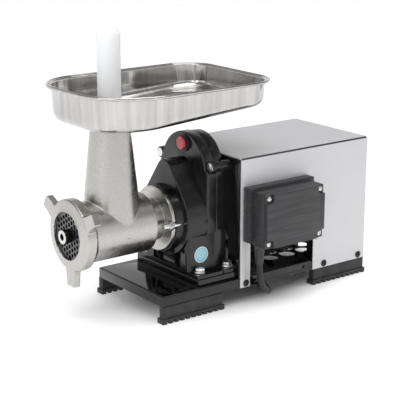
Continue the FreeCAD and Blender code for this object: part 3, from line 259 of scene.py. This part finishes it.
def screw_casting():
    """The feed screw: tinned worm, blackened journal at the outlet, its end face rubbed bright."""
    material = new_material("screw_casting", (0.62, 0.60, 0.56), 1.0, 0.30)
    place = add_node(material, "ShaderNodeTexCoord")
    across = add_node(material, "ShaderNodeSeparateXYZ")
    link(material, place.outputs["Object"], across.inputs[0])
    ramp = add_node(material, "ShaderNodeMapRange")
    ramp.inputs["From Min"].default_value = SCREW_TIP_X + 0.0003
    ramp.inputs["From Max"].default_value = SCREW_TIP_X + 0.0009
    link(material, across.outputs["X"], ramp.inputs["Value"])
    behind = add_node(material, "ShaderNodeMath", operation="GREATER_THAN")
    behind.inputs[1].default_value = PLATE_HIGH.x
    link(material, across.outputs["X"], behind.inputs[0])
    journal = add_node(material, "ShaderNodeMath", operation="SUBTRACT", use_clamp=True)
    link(material, ramp.outputs["Result"], journal.inputs[0])
    link(material, behind.outputs[0], journal.inputs[1])
    mix = add_node(material, "ShaderNodeMix", data_type="RGBA")
    mix.inputs["A"].default_value = (0.66, 0.65, 0.62, 1)
    mix.inputs["B"].default_value = (0.035, 0.034, 0.033, 1)
    link(material, journal.outputs[0], mix.inputs["Factor"])
    link(material, mix.outputs["Result"], shader_of(material).inputs["Base Color"])
    add_bump(material, noise(material, 900, 4), 0.12, 0.0002)
    return material


def plate_steel():
    """Perforated plate: oiled dark tool steel."""
    material = new_material("plate_steel", (0.15, 0.15, 0.152), 1.0, 0.34)
    vary_roughness(material, noise(material, 160, 5), 0.26, 0.42)
    add_bump(material, noise(material, 800, 2), 0.05, 0.00015)
    return material


def tray_sheet():
    """Deep-drawn stainless: mirror walls with faint draw lines and wiping marks."""
    material = new_material("tray_sheet", (0.50, 0.49, 0.475), 1.0, 0.12)
    blend_colors(material, noise(material, 110, 4, (1, 1, 0.06)), (0.44, 0.43, 0.415), (0.56, 0.55, 0.535))
    vary_roughness(material, noise(material, 60, 5, (1, 1, 0.2)), 0.07, 0.16)
    add_bump(material, noise(material, 900, 2, (0.05, 0.05, 1)), 0.03, 0.00012)
    add_bump(material, noise(material, 12, 2), 0.05, 0.0012)
    return material


def tinned_iron():
    """Hot-tinned casting: satin, slightly warm, mottled, with a fine sand texture."""
    material = new_material("tinned_iron", (0.62, 0.60, 0.56), 1.0, 0.36)
    blend_colors(material, noise(material, 700, 6, roughness=0.6), (0.46, 0.447, 0.42), (0.53, 0.517, 0.49))
    vary_roughness(material, noise(material, 160, 6), 0.24, 0.36)
    add_bump(material, noise(material, 900, 3), 0.08, 0.0003)
    add_bump(material, noise(material, 60, 3), 0.04, 0.0010)
    return material


def steel(name, tone, low, high, stretch=(1, 1, 1)):
    """Plain machined or plated steel with turned or ground marks."""
    material = new_material(name, (tone, tone, tone * 0.985), 1.0, (low + high) / 2)
    vary_roughness(material, noise(material, 240, 5, stretch), low, high)
    add_bump(material, noise(material, 1400, 2, stretch), 0.05, 0.00015)
    return material


def aluminium():
    material = steel("cast_aluminium", 0.62, 0.38, 0.55)
    add_bump(material, noise(material, 500, 4), 0.2, 0.0003)
    return material


def copper():
    """Varnished winding wire, wound round the core."""
    material = new_material("winding_copper", (0.55, 0.22, 0.08), 1.0, 0.3, Coat_Weight=0.5)
    add_bump(material, noise(material, 420, 2, (6, 1, 1)), 0.6, 0.0006)
    return material


def grained_plastic():
    """Black moulded lid and box: fine grain drawn out along X, satin."""
    material = new_material("grained_plastic", (0.030, 0.030, 0.033), 0.0, 0.42)
    blend_colors(material, noise(material, 260, 4, (0.06, 1, 1)),
                 (0.022, 0.022, 0.024), (0.044, 0.044, 0.047))
    vary_roughness(material, noise(material, 200, 4, (0.1, 1, 1)), 0.34, 0.52)
    add_bump(material, noise(material, 900, 3, (0.04, 1, 1)), 0.25, 0.0003)
    return material


def plain_plastic(name, color, roughness):
    material = new_material(name, color, 0.0, roughness)
    vary_roughness(material, noise(material, 80, 3), roughness - 0.06, roughness + 0.08)
    add_bump(material, noise(material, 1000, 2), 0.08, 0.0002)
    return material


def pusher_plastic():
    """Milky polyethylene: light passes a little way in."""
    material = new_material("pusher_plastic", (0.90, 0.91, 0.92), 0.0, 0.32, Subsurface_Weight=0.6,
                            Subsurface_Scale=0.01)
    shader_of(material).inputs["Subsurface Radius"].default_value = (1.0, 0.95, 0.9)
    vary_roughness(material, noise(material, 40, 3, (1, 1, 0.3)), 0.26, 0.42)
    add_bump(material, noise(material, 700, 2), 0.06, 0.0002)
    return material


def red_plastic():
    material = new_material("red_plastic", (0.50, 0.012, 0.020), 0.0, 0.22, Coat_Weight=0.5)
    blend_colors(material, noise(material, 150, 3), (0.42, 0.008, 0.014), (0.58, 0.018, 0.028))
    add_bump(material, noise(material, 900, 2), 0.06, 0.0002)
    return material


def sticker_film():
    """Round label: pale blue with a lighter border and a plain lighter ring in the middle."""
    blue, pale = (0.24, 0.58, 0.70, 1), (0.78, 0.90, 0.94, 1)
    material = plain_plastic("sticker_film", blue[:3], 0.35)
    low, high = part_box("round_sticker")
    place = add_node(material, "ShaderNodeTexCoord")
    offset = add_node(material, "ShaderNodeVectorMath", operation="SUBTRACT")
    offset.inputs[1].default_value = (low + high) / 2
    distance = add_node(material, "ShaderNodeVectorMath", operation="LENGTH")
    rings = add_node(material, "ShaderNodeValToRGB")
    scale = add_node(material, "ShaderNodeMath", operation="DIVIDE")
    scale.inputs[1].default_value = (high.z - low.z) / 2
    rings.color_ramp.interpolation = "CONSTANT"
    rings.color_ramp.elements[0].color = blue
    rings.color_ramp.elements[1].position, rings.color_ramp.elements[1].color = 0.90, pale
    for position, tone in ((0.22, pale), (0.32, blue), (0.52, pale), (0.60, blue)):
        rings.color_ramp.elements.new(position).color = tone
    link(material, place.outputs["Object"], offset.inputs[0])
    link(material, offset.outputs["Vector"], distance.inputs[0])
    link(material, distance.outputs["Value"], scale.inputs[0])
    link(material, scale.outputs[0], rings.inputs["Fac"])
    link(material, rings.outputs["Color"], shader_of(material).inputs["Base Color"])
    return material


def floor_paint():
    """White sweep with a painted glow that fades out under the machine, leaving a painted shadow beneath the
    base.
    """
    material = new_material("floor_white", (0.93, 0.93, 0.935), 0.0, 0.6, Emission_Color=(1, 1, 1, 1))
    vary_roughness(material, noise(material, 2, 3), 0.55, 0.7)
    low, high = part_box("base_pan")
    place = add_node(material, "ShaderNodeTexCoord")
    offset = add_node(material, "ShaderNodeVectorMath", operation="SUBTRACT")
    offset.inputs[1].default_value = ((low.x + high.x) / 2, (low.y + high.y) / 2, 0)
    spread = add_node(material, "ShaderNodeVectorMath", operation="DIVIDE")
    spread.inputs[1].default_value = ((high.x - low.x) / 2, (high.y - low.y) / 2, 1)
    distance = add_node(material, "ShaderNodeVectorMath", operation="LENGTH")
    # painted glow strength by distance from the base: none under it, which is a painted shadow
    glow = add_node(material, "ShaderNodeMapRange")
    glow.inputs["From Min"].default_value, glow.inputs["From Max"].default_value = GLOW_FROM, GLOW_TO
    glow.inputs["To Min"].default_value, glow.inputs["To Max"].default_value = 0.0, GLOW
    link(material, place.outputs["Object"], offset.inputs[0])
    link(material, offset.outputs["Vector"], spread.inputs[0])
    link(material, spread.outputs["Vector"], distance.inputs[0])
    link(material, distance.outputs["Value"], glow.inputs["Value"])
    link(material, glow.outputs["Result"], shader_of(material).inputs["Emission Strength"])
    return material


ENAMEL, CASTING, RUBBER = gloss_enamel(), casting_paint(), rubber()
SHEET, TRAY, TINNED = polished_sheet(), tray_sheet(), tinned_iron()
SCREW, PLATE = screw_casting(), plate_steel()
ZINC = steel("zinc_plate", 0.74, 0.18, 0.34)
GROUND = steel("ground_steel", 0.42, 0.25, 0.4)
TURNED = steel("turned_steel", 0.5, 0.22, 0.38, (8, 1, 1))
ALUMINIUM, COPPER = aluminium(), copper()
BLACK_OXIDE = plain_plastic("black_oxide", (0.006, 0.006, 0.0065), 0.32)
GRAINED = grained_plastic()
SOOTY = plain_plastic("sooty_plastic", (0.025, 0.025, 0.027), 0.45)
GREY = plain_plastic("pale_plastic", (0.68, 0.68, 0.66), 0.4)
GASKET = plain_plastic("fibre_gasket", (0.22, 0.14, 0.07), 0.8)
WHITE, RED = pusher_plastic(), red_plastic()
LAMINATION = steel("varnished_laminations", 0.18, 0.45, 0.6, (9, 1, 1))
CORD = plain_plastic("cord_sheath", (0.006, 0.006, 0.0065), 0.40)
STICKER = sticker_film()

FINISHES = {
    ENAMEL: ("base_pan", "spacer_plate", "cover_front_plate"),
    CASTING: ("gearbox_front_case", "gearbox_rear_case"),
    RUBBER: ("rubber_feet", "output_seal"),
    SHEET: ("cover", "cover_rear_panel"),
    TRAY: ("feed_tray",),
    TINNED: ("grinder_body", "ring_nut"),
    SCREW: ("feed_screw",),
    PLATE: ("grinder_plate",),
    ZINC: ("foot_bolts", "foot_washers", "case_screws", "motor_flange_screws", "motor_tie_rods", "lid_screws",
           "clamp_studs", "clamp_nuts"),
    GROUND: ("plate_key", "knife", "motor_pinion", "intermediate_gear", "output_gear"),
    TURNED: ("output_front_bearing", "output_rear_bearing", "intermediate_bearings", "motor_bearings",
             "intermediate_shaft", "output_shaft", "motor_shaft"),
    ALUMINIUM: ("bearing_bridge", "motor_front_shield", "motor_rear_shield", "motor_housing"),
    COPPER: ("stator_windings",),
    LAMINATION: ("stator_core", "rotor_core"),
    BLACK_OXIDE: ("fan_cowl", "motor_support", "cover_screws"),
    GRAINED: ("control_box_back", "control_box_body", "control_box_lid"),
    SOOTY: ("button_bezel", "cooling_fan", "cable_gland", "cord_plug"),
    GREY: ("switch_block", "run_capacitor", "terminal_block"),
    GASKET: ("gearbox_gasket",),
    WHITE: ("pusher",),
    RED: ("red_button",),
    CORD: ("cord_lead", "cord_coil"),
    STICKER: ("round_sticker",),
}

# Pieces out of sight or too thin to round, and pieces that a mesh below stands for
AS_CUT = {"gearbox_gasket", "intermediate_gear", "output_gear", "motor_pinion", "stator_windings",
          "stator_core", "rotor_core", "motor_bearings", "output_front_bearing", "output_rear_bearing",
          "intermediate_bearings", "round_sticker", "switch_block"}
REPLACED = {"feed_tray", "cord_lead", "cord_coil"}
CAST = {"grinder_body": 3, "ring_nut": 2}       # pieces with a soft cast skin, and how far it is softened
EDGE_WIDTH = 0.0004
EDGES = {"base_pan": 0.0008, "rubber_feet": 0.0007, "gearbox_front_case": 0.0012,
         "gearbox_rear_case": 0.0010, "ring_nut": 0.0010, "control_box_lid": 0.0010,
         "control_box_body": 0.0008, "control_box_back": 0.0008, "cord_plug": 0.0010,
         "spacer_plate": 0.0006, "feed_screw": 0.0006, "pusher": 0.0010, "cover": 0.0003,
         "grinder_plate": 0.0003, "clamp_studs": 0.0003, "clamp_nuts": 0.0003}


def finish_nodes():
    """Give every CAD node its finish, and soften its edges and shading."""
    shading = smooth_by_angle(math.radians(32))
    for material, names in FINISHES.items():
        for name in names:
            piece = nodes[name]
            piece.data.materials.clear()
            piece.data.materials.append(material)
            if name in AS_CUT or name in REPLACED:
                continue
            weld = piece.modifiers.new("weld", "WELD")
            weld.merge_threshold = 0.000005
            if name in CAST:
                remesh = piece.modifiers.new("cast_skin", "REMESH")
                remesh.mode = "VOXEL"
                remesh.voxel_size = 0.0009
                soften = piece.modifiers.new("soften", "SMOOTH")
                soften.iterations = CAST[name]
                soften.factor = 0.5
            else:
                bevel = piece.modifiers.new("edges", "BEVEL")
                bevel.limit_method = "ANGLE"
                bevel.angle_limit = math.radians(35)
                bevel.width = EDGES.get(name, EDGE_WIDTH)
                bevel.segments = 2
            smoother = piece.modifiers.new("shading", "NODES")
            smoother.node_group = shading


def smooth_by_angle(limit):
    """A modifier group: smooth faces, with the edges over the limit kept sharp."""
    group = bpy.data.node_groups.new("smooth_by_angle", "GeometryNodeTree")
    group.interface.new_socket("Geometry", in_out="INPUT", socket_type="NodeSocketGeometry")
    group.interface.new_socket("Geometry", in_out="OUTPUT", socket_type="NodeSocketGeometry")
    entry, leave = group.nodes.new("NodeGroupInput"), group.nodes.new("NodeGroupOutput")
    faces = group.nodes.new("GeometryNodeSetShadeSmooth")
    edges = group.nodes.new("GeometryNodeSetShadeSmooth")
    edges.domain = "EDGE"
    edges.inputs["Shade Smooth"].default_value = False
    angle = group.nodes.new("GeometryNodeInputMeshEdgeAngle")
    over = group.nodes.new("FunctionNodeCompare")
    over.operation = "GREATER_THAN"
    over.inputs[1].default_value = limit
    group.links.new(entry.outputs[0], faces.inputs["Geometry"])
    group.links.new(faces.outputs["Geometry"], edges.inputs["Geometry"])
    group.links.new(angle.outputs["Unsigned Angle"], over.inputs[0])
    group.links.new(over.outputs["Result"], edges.inputs["Selection"])
    group.links.new(edges.outputs["Geometry"], leave.inputs[0])
    return group


# ---------------------------------------------------------------- mesh helpers
def new_piece(name, mesh, material, body, *replaced):
    """Put a mesh in the scene on a body, in place of the CAD nodes it stands for."""
    piece = bpy.data.objects.new(name, mesh)
    scene.collection.objects.link(piece)
    piece.data.materials.append(material)
    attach(piece, body)
    if replaced:
        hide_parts(*replaced)
    return piece


def finished_mesh(name, build, sharp_degrees):
    """A mesh from a build, its faces turned outward and smooth, with the edges over an angle kept sharp."""
    bmesh.ops.recalc_face_normals(build, faces=build.faces)
    mesh = bpy.data.meshes.new(name)
    build.to_mesh(mesh)
    build.free()
    for face in mesh.polygons:
        face.use_smooth = True
    mesh.set_sharp_from_angle(angle=math.radians(sharp_degrees))
    return mesh


def eased(value):
    """0 to 1 with soft ends."""
    value = min(max(value, 0.0), 1.0)
    return value * value * (3 - 2 * value)


# ---------------------------------------------------------------- feed tray
TRAY_LOW, TRAY_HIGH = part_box("feed_tray")
TRAY_FLOOR_Z = 0.2900        # underside at mid length
TRAY_SLOPE = math.radians(3.8)
TRAY_SHEET = 0.0012
RIM_R = 0.0023
RIM_OUT = 0.0075
TRAY_BEND_R = 0.014
TRAY_CORNER_R, TRAY_FAR_R, TRAY_NEAR_R = 0.051, 0.070, 0.092   # rear corners, front far side, front box side
SPOUT_X, SPOUT_R = 0.0734, 0.024      # station of its axis, outer radius
SPOUT_END_Z = TRAY_LOW.z
SHELF_DROP = 0.0010          # from the rim's top to the shelf inside it
SHELF_BEND = 0.003           # from the shelf to the inner wall
WALL_LEAN = 0.0018           # how far the wall comes in on its way down
PRESS_HEIGHT = 0.0022        # of the facets in the floor


def tray_drop(place):
    """Lower or raise a place with the sloping floor, fully at the floor and not at all at the rim."""
    depth = (TRAY_HIGH.z - place.z) / (TRAY_HIGH.z - TRAY_FLOOR_Z)
    share = min(max(depth, 0.0), 1.0)
    middle = (TRAY_LOW.x + TRAY_HIGH.x) / 2
    place.z += (place.x - middle) * math.tan(TRAY_SLOPE) * share
    return place


def tray_ring(inset, z):
    """Points round the tray's outline, moved inward by inset, a fixed count for every ring."""
    corner_steps, side_steps = 14, 10
    low_x, high_x = TRAY_LOW.x + inset, TRAY_HIGH.x - inset
    low_y, high_y = TRAY_LOW.y + inset, TRAY_HIGH.y - inset
    rear, far, near = TRAY_CORNER_R - inset, TRAY_FAR_R - inset, TRAY_NEAR_R - inset
    centres = ((high_x - rear, high_y - rear, 0.0, rear), (low_x + far, high_y - far, 0.5, far),
               (low_x + near, low_y + near, 1.0, near), (high_x - rear, low_y + rear, 1.5, rear))
    ring = []
    for index, (x, y, start, radius) in enumerate(centres):
        for step in range(corner_steps + 1):
            turn = math.pi * (start + 0.5 * step / corner_steps)
            ring.append(Vector((x + radius * math.cos(turn), y + radius * math.sin(turn), z)))
        next_x, next_y, next_start, next_radius = centres[(index + 1) % 4]
        turn = math.pi * next_start
        goal = Vector((next_x + next_radius * math.cos(turn), next_y + next_radius * math.sin(turn), z))
        leave = ring[-1].copy()
        for step in range(1, side_steps):
            ring.append(leave.lerp(goal, step / side_steps))
    return ring


def tray_profile():
    """(inset, height) from the rim's underside over the roll and down the inner wall to the floor."""
    top = TRAY_HIGH.z
    roll_z = top - RIM_R
    points = []
    for step in range(13):
        turn = math.pi * (-0.5 + step / 8)
        points.append((RIM_R - RIM_R * math.cos(turn), roll_z + RIM_R * math.sin(turn)))
    wall_top = RIM_OUT + TRAY_SHEET
    shelf_z = top - SHELF_DROP
    points.append((wall_top - SHELF_BEND, shelf_z))
    for step in range(1, 7):
        turn = 0.5 * math.pi * step / 6
        points.append((wall_top - SHELF_BEND + SHELF_BEND * math.sin(turn),
                       shelf_z - SHELF_BEND * (1 - math.cos(turn))))
    corner_r = TRAY_BEND_R - TRAY_SHEET
    floor_z = TRAY_FLOOR_Z + TRAY_SHEET
    foot = wall_top + WALL_LEAN
    for step in range(0, 11):
        turn = 0.5 * math.pi * step / 10
        points.append((foot + corner_r * (1 - math.cos(turn)), floor_z + corner_r * (1 - math.sin(turn))))
    return points


def floor_press(x, y):
    """Height of the shallow pressed facets that drain the floor to the spout."""
    along = (x - TRAY_LOW.x) / (TRAY_HIGH.x - TRAY_LOW.x)
    across = abs(y - AXIS_Y) / ((TRAY_HIGH.y - TRAY_LOW.y) / 2)
    facet = abs(along - 0.25 - 0.62 * across)
    edge_fade = eased((0.80 - across) / 0.15) * eased((along - 0.10) / 0.1) * eased((0.88 - along) / 0.12)
    return PRESS_HEIGHT * edge_fade * max(0.0, 1 - facet / 0.30)


def towards_spout(point, share, radius, z):
    """A place part of the way from the floor's edge to a circle round the spout's axis."""
    centre = at(SPOUT_X, 0, 0)
    away = Vector((point.x - centre.x, point.y - centre.y, 0)).normalized() * radius
    return point.lerp(Vector((centre.x + away.x, centre.y + away.y, z)), share)


def tray_rings():
    """The sheet's rings in order: rim, inner wall, pressed floor, spout, underside, outer wall, shelf."""
    rings = [tray_ring(inset, z) for inset, z in tray_profile()]
    edge = rings[-1]
    floor_z, spout_in, steps = TRAY_FLOOR_Z + TRAY_SHEET, SPOUT_R - TRAY_SHEET, 34
    for step in range(1, steps + 1):
        ring = [towards_spout(point, step / steps, spout_in + 0.002, floor_z) for point in edge]
        for place in ring:
            place.z = floor_z + (floor_press(place.x, place.y) if step < steps else 0)
        rings.append(ring)
    for radius, z in ((spout_in, floor_z - 0.0008), (spout_in, floor_z - 0.0022), (spout_in, SPOUT_END_Z),
                      (SPOUT_R, SPOUT_END_Z), (SPOUT_R, TRAY_FLOOR_Z - 0.001),
                      (SPOUT_R + 0.001, TRAY_FLOOR_Z)):
        rings.append([towards_spout(point, 1.0, radius, z) for point in edge])
    for step in range(steps // 2 - 1, -1, -1):
        ring = [towards_spout(point, 2 * step / steps, SPOUT_R + 0.001, 0) for point in edge]
        for place in ring:
            place.z = TRAY_FLOOR_Z
        rings.append(ring)
    foot = RIM_OUT + WALL_LEAN
    for step in range(9, -1, -1):
        turn = 0.5 * math.pi * step / 10
        rings.append(tray_ring(foot + TRAY_BEND_R * (1 - math.cos(turn)),
                               TRAY_FLOOR_Z + TRAY_BEND_R * (1 - math.sin(turn))))
    shelf_low = TRAY_HIGH.z - SHELF_DROP - TRAY_SHEET
    return rings + [tray_ring(RIM_OUT, shelf_low - 0.002), tray_ring(RIM_OUT - 0.002, shelf_low),
                    tray_ring(RIM_R + 0.0008, shelf_low)]


def feed_tray():
    """Drawn tray: rolled rim, nearly upright wall, round bottom edge, pressed floor and a short spout."""
    build = bmesh.new()
    rings = [[build.verts.new(place) for place in ring] for ring in tray_rings()]
    count = len(rings[0])
    for lower, upper in zip(rings, rings[1:] + rings[:1]):
        for step in range(count):
            after = (step + 1) % count
            build.faces.new((lower[step], lower[after], upper[after], upper[step]))
    for vertex in build.verts:
        if vertex.co.z > SPOUT_END_Z + 0.002:
            vertex.co = tray_drop(vertex.co)
    return new_piece("drawn_tray", finished_mesh("drawn_tray", build, 50), TRAY, "tray", "feed_tray")


# ---------------------------------------------------------------- supply cord
CORD_D = 0.0098
GLAND_EXIT = (0.2608, -0.1066)
LEAD_ROUTE = [(*GLAND_EXIT, 0.066), (*GLAND_EXIT, 0.050), (0.2665, -0.1042, 0.034), (0.2775, -0.0985, 0.0215),
              (0.2915, -0.0905, 0.012), (0.3038, -0.0773, 0.0064), (0.3136, -0.060, 0.0049),
              (0.3226, -0.0367, 0.0049), (0.3321, -0.0082, 0.0049), (0.3412, 0.0256, 0.0049),
              (0.3475, 0.0631, 0.0049), (0.3503, 0.102, 0.0049), (0.3501, 0.140, 0.0049)]
TAIL_ROUTE = [(0.411, 0.2079, 0.0147), (0.427, 0.2079, 0.0153), (0.444, 0.2075, 0.0176)]
COIL_CENTRE = (0.405, 0.153)
COIL_MEAN_R = 0.050
TIE_ANGLE, TIE_HALF, TIE_THICK = 0.35, 0.005, 0.0007   # place round the coil, half width, thickness


def coil_turns():
    """Outer bottom turn, inner bottom, inner top, outer top and a quarter, a cord's width apart."""
    per_turn, turns = 20, 4.25
    chord_pull = 2 / (1 + math.cos(math.pi / per_turn))
    points = []
    for step in range(1, int(per_turn * turns)):
        done = step / per_turn
        inward = eased((done - 0.88) / 0.24) - eased((done - 2.88) / 0.24)
        upward = eased((done - 1.88) / 0.24)
        radius = (COIL_MEAN_R + CORD_D / 2 - CORD_D * inward) * chord_pull
        turn = math.pi - 2 * math.pi * done
        points.append((COIL_CENTRE[0] + radius * math.cos(turn), COIL_CENTRE[1] + radius * math.sin(turn),
                       CORD_D / 2 + CORD_D * upward))
    return points


def supply_cord():
    """One flexible lead from the strain relief under the base to the tied coil and its plug."""
    curve = bpy.data.curves.new("supply_cord", "CURVE")
    curve.dimensions = "3D"
    curve.bevel_depth = CORD_D / 2
    curve.bevel_resolution = 5
    curve.resolution_u = 8
    curve.use_fill_caps = True
    spline = curve.splines.new("NURBS")
    route = [at(*point) for point in LEAD_ROUTE + coil_turns() + TAIL_ROUTE]
    spline.points.add(len(route) - 1)
    for point, place in zip(spline.points, route):
        point.co = (*place, 1)
    spline.order_u = 3
    spline.use_endpoint_u = True
    piece = bpy.data.objects.new("supply_cord", curve)
    scene.collection.objects.link(piece)
    curve.materials.append(CORD)
    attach(piece, "frame")
    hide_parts("cord_lead", "cord_coil")
    return piece


def coil_tie():
    """Flat strap round one side of the coil."""
    outward = Vector((math.cos(TIE_ANGLE), math.sin(TIE_ANGLE), 0))
    along = Vector((-math.sin(TIE_ANGLE), math.cos(TIE_ANGLE), 0))
    up = Vector((0, 0, 1))
    centre = at(*COIL_CENTRE, CORD_D) + outward * COIL_MEAN_R
    reach_out, reach_up, lowest = CORD_D * 1.22, CORD_D * 1.12, 0.0001 - CORD_D
    build, steps = bmesh.new(), 28
    rings = []
    for step in range(steps):
        turn = 2 * math.pi * step / steps
        bulge = (abs(math.cos(turn)) ** 4 + abs(math.sin(turn)) ** 4) ** -0.25
        ring = []
        for thick, shift in ((0, -TIE_HALF), (0, TIE_HALF), (TIE_THICK, TIE_HALF), (TIE_THICK, -TIE_HALF)):
            height = max(math.sin(turn) * bulge * (reach_up + thick), lowest)
            ring.append(build.verts.new(centre + outward * (math.cos(turn) * bulge * (reach_out + thick))
                                        + up * height + along * shift))
        rings.append(ring)
    for ring, following in zip(rings, rings[1:] + rings[:1]):
        for corner in range(4):
            beside = (corner + 1) % 4
            build.faces.new((ring[corner], ring[beside], following[beside], following[corner]))
    return new_piece("coil_tie", finished_mesh("coil_tie", build, 40), SOOTY, "frame")


# ---------------------------------------------------------------- assemble
scene.view_settings.view_transform = "Standard"
add_camera()
add_world()
add_floor(floor_paint())
area_light("ceiling_softbox", at(0.2, -0.3, 1.9), at(0.2, 0.0, 0.1), (1.8, 1.4), 14)
area_light("left_softbox", at(-1.5, -0.5, 1.1), at(0.2, 0.0, 0.15), (1.0, 1.2), 6)
finish_nodes()
feed_tray()
lead = supply_cord()
coil_tie()
